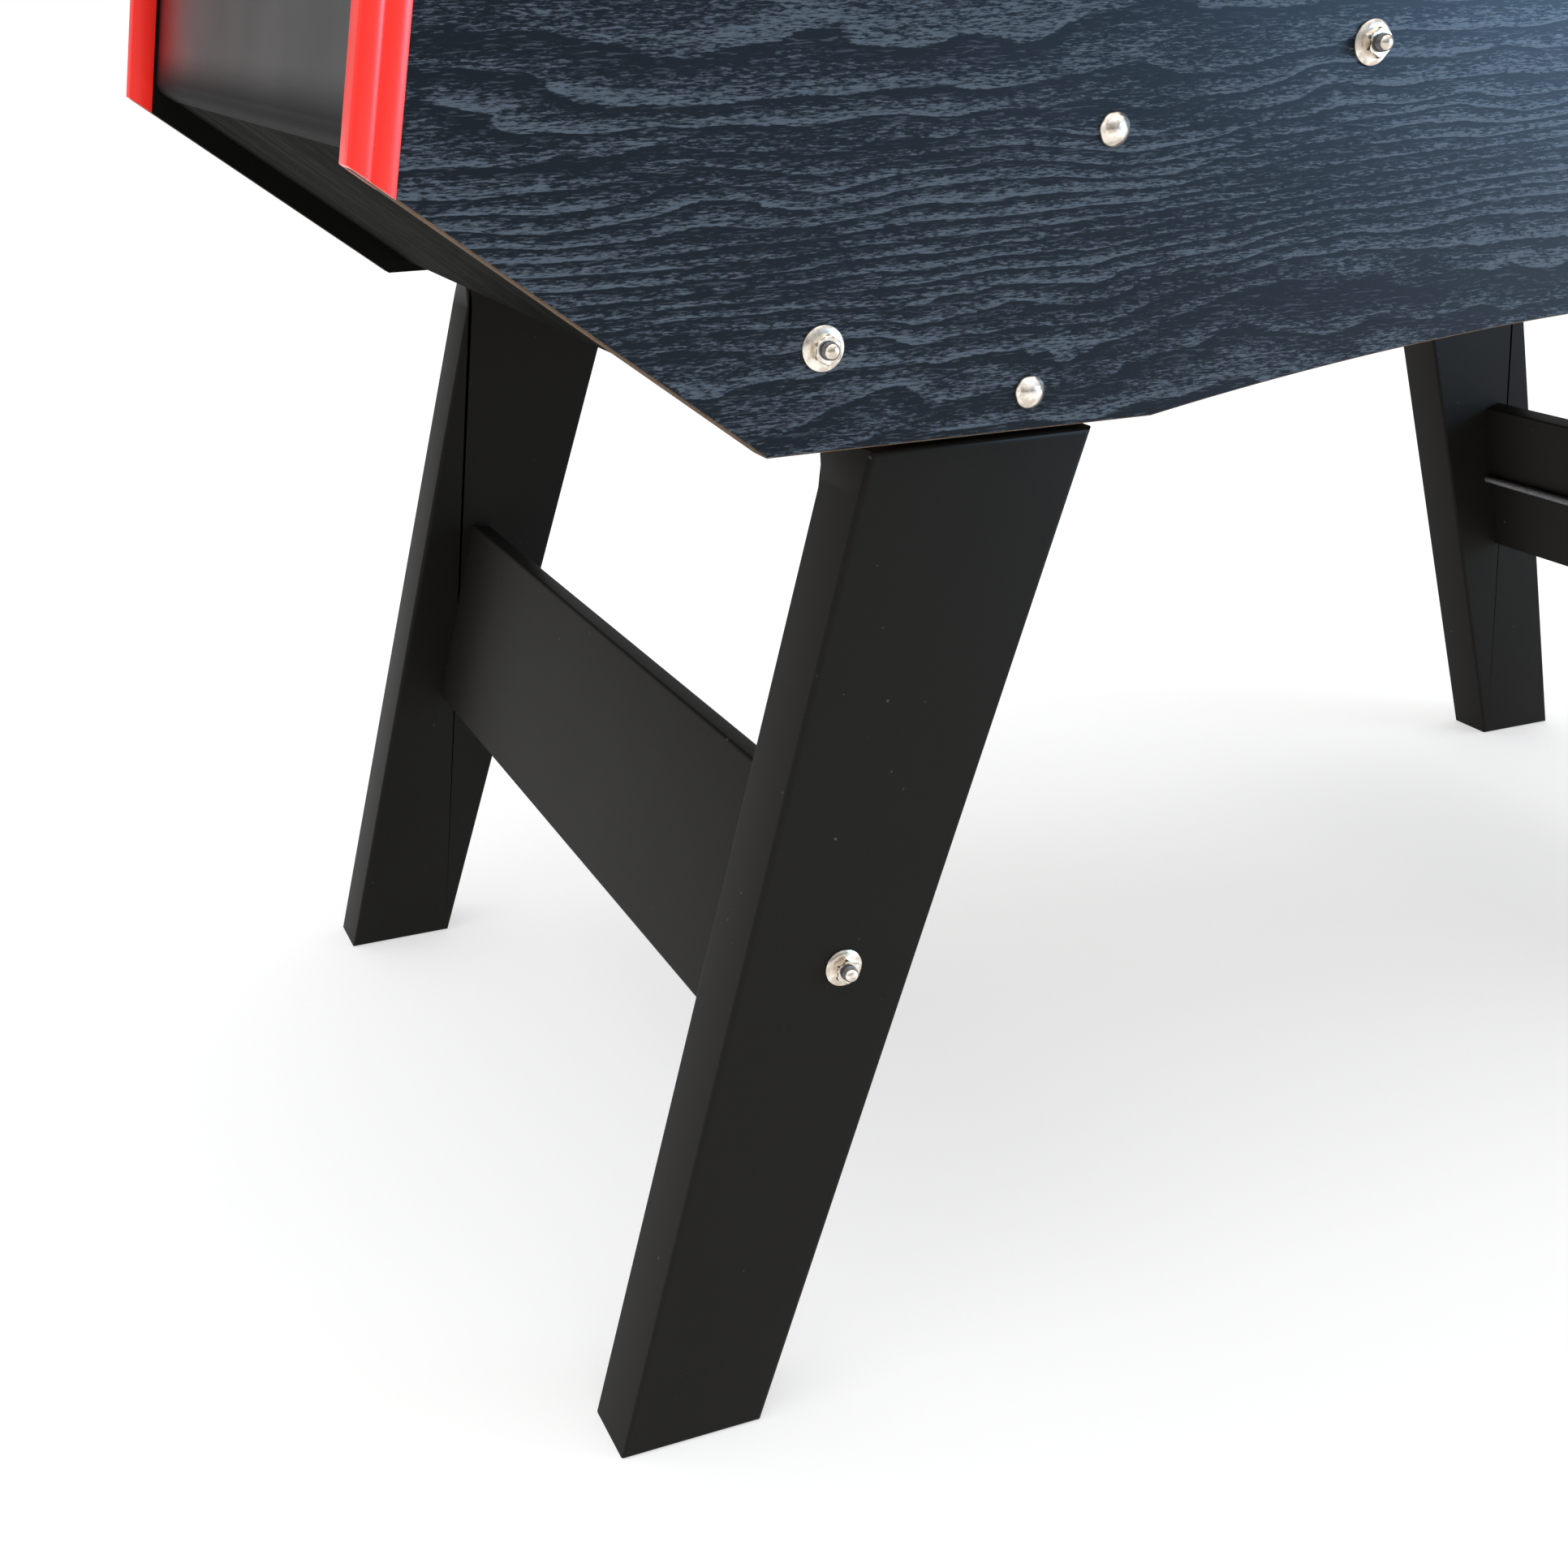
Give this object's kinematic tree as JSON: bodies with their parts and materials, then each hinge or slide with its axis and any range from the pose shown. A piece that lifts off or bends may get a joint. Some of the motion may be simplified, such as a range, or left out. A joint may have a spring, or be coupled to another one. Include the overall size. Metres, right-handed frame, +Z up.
{
  "type": "foosball table",
  "caption": "Table football game: a slant-ended cabinet on leaning legs, with rods that slide and spin to swing moulded players over a green field.",
  "frame": {"origin": "on the floor, under the middle of the table", "axes": "+X along the table towards the right end seen from the front, +Z up; the front, with the first team's goalkeeper handle on its left, faces -Y"},
  "size_m": [1.43, 1.2848, 0.864],
  "materials": {
    "panel_laminate": "blue-black wood-grain laminate, satin",
    "end_gloss": "black gloss laminate",
    "underside_board": "brown-grey embossed grain",
    "field_green": "green laminate",
    "black_board": "black foil, satin",
    "black_plastic": "moulded, satin",
    "raw_wood": "plain softwood",
    "red_trim": "red, soft gloss",
    "chrome": "polished",
    "steel": "zinc plated",
    "leg_black": "black satin foil",
    "team_red": "moulded, painted",
    "team_blue": "moulded, painted",
    "grip_rubber": "matt",
    "bumper_rubber": "matt"
  },
  "bodies": {
    "cabinet": {"side_panel_front": "panel_laminate", "side_panel_back": "panel_laminate", "end_panel_left": "end_gloss", "end_panel_right": "end_gloss", "underside_left": "underside_board", "underside_right": "underside_board", "playfield": "field_green", "goal_wall_left": "black_board", "goal_wall_right": "black_board", "goal_box_left": "black_plastic", "goal_box_right": "black_plastic", "corner_ramps": "field_green", "playfield_cleats": "raw_wood", "top_rails": "black_board", "corner_trims": "red_trim", "leg_front_left": "leg_black", "leg_front_right": "leg_black", "leg_back_left": "leg_black", "leg_back_right": "leg_black", "stretcher_left": "leg_black", "stretcher_right": "leg_black", "tie_rods": "chrome", "flange_nuts": "chrome", "carriage_bolts": "chrome", "carriage_nuts": "steel", "rod_bushings": "black_plastic", "ring_nuts": "black_plastic", "serve_cups": "black_plastic"},
    "carrier_1": {"bumpers_1": "bumper_rubber"},
    "rod_assembly_1": {"rod_1": "chrome", "men_1": "team_red", "grip_1": "grip_rubber"},
    "carrier_2": {"bumpers_2": "bumper_rubber"},
    "rod_assembly_2": {"rod_2": "chrome", "men_2": "team_red", "grip_2": "grip_rubber"},
    "carrier_3": {"bumpers_3": "bumper_rubber"},
    "rod_assembly_3": {"rod_3": "chrome", "men_3": "team_blue", "grip_3": "grip_rubber"},
    "carrier_4": {"bumpers_4": "bumper_rubber"},
    "rod_assembly_4": {"rod_4": "chrome", "men_4": "team_red", "grip_4": "grip_rubber"},
    "carrier_5": {"bumpers_5": "bumper_rubber"},
    "rod_assembly_5": {"rod_5": "chrome", "men_5": "team_blue", "grip_5": "grip_rubber"},
    "carrier_6": {"bumpers_6": "bumper_rubber"},
    "rod_assembly_6": {"rod_6": "chrome", "men_6": "team_red", "grip_6": "grip_rubber"},
    "carrier_7": {"bumpers_7": "bumper_rubber"},
    "rod_assembly_7": {"rod_7": "chrome", "men_7": "team_blue", "grip_7": "grip_rubber"},
    "carrier_8": {"bumpers_8": "bumper_rubber"},
    "rod_assembly_8": {"rod_8": "chrome", "men_8": "team_blue", "grip_8": "grip_rubber"}
  },
  "joints": [
    {"name": "rod_1_slide", "type": "slide", "parent": "cabinet", "child": "carrier_1", "axis": [0, 1, 0], "range_m": [-0.11, 0.11]},
    {"name": "rod_1_spin", "type": "hinge", "parent": "carrier_1", "child": "rod_assembly_1", "pos_m": [-0.54251, 0, 0.81], "axis": [0, 1, 0], "continuous": true},
    {"name": "rod_2_slide", "type": "slide", "parent": "cabinet", "child": "carrier_2", "axis": [0, 1, 0], "range_m": [-0.1644, 0.1644]},
    {"name": "rod_2_spin", "type": "hinge", "parent": "carrier_2", "child": "rod_assembly_2", "pos_m": [-0.38751, 0, 0.81], "axis": [0, 1, 0], "continuous": true},
    {"name": "rod_3_slide", "type": "slide", "parent": "cabinet", "child": "carrier_3", "axis": [0, 1, 0], "range_m": [-0.1094, 0.1094]},
    {"name": "rod_3_spin", "type": "hinge", "parent": "carrier_3", "child": "rod_assembly_3", "pos_m": [-0.2325, 0, 0.81], "axis": [0, 1, 0], "continuous": true},
    {"name": "rod_4_slide", "type": "slide", "parent": "cabinet", "child": "carrier_4", "axis": [0, 1, 0], "range_m": [-0.0634, 0.0634]},
    {"name": "rod_4_spin", "type": "hinge", "parent": "carrier_4", "child": "rod_assembly_4", "pos_m": [-0.0775, 0, 0.81], "axis": [0, 1, 0], "continuous": true},
    {"name": "rod_5_slide", "type": "slide", "parent": "cabinet", "child": "carrier_5", "axis": [0, 1, 0], "range_m": [-0.0634, 0.0634]},
    {"name": "rod_5_spin", "type": "hinge", "parent": "carrier_5", "child": "rod_assembly_5", "pos_m": [0.0775, 0, 0.81], "axis": [0, 1, 0], "continuous": true},
    {"name": "rod_6_slide", "type": "slide", "parent": "cabinet", "child": "carrier_6", "axis": [0, 1, 0], "range_m": [-0.1094, 0.1094]},
    {"name": "rod_6_spin", "type": "hinge", "parent": "carrier_6", "child": "rod_assembly_6", "pos_m": [0.2325, 0, 0.81], "axis": [0, 1, 0], "continuous": true},
    {"name": "rod_7_slide", "type": "slide", "parent": "cabinet", "child": "carrier_7", "axis": [0, 1, 0], "range_m": [-0.1644, 0.1644]},
    {"name": "rod_7_spin", "type": "hinge", "parent": "carrier_7", "child": "rod_assembly_7", "pos_m": [0.38751, 0, 0.81], "axis": [0, 1, 0], "continuous": true},
    {"name": "rod_8_slide", "type": "slide", "parent": "cabinet", "child": "carrier_8", "axis": [0, 1, 0], "range_m": [-0.11, 0.11]},
    {"name": "rod_8_spin", "type": "hinge", "parent": "carrier_8", "child": "rod_assembly_8", "pos_m": [0.54251, 0, 0.81], "axis": [0, 1, 0], "continuous": true}
  ]
}
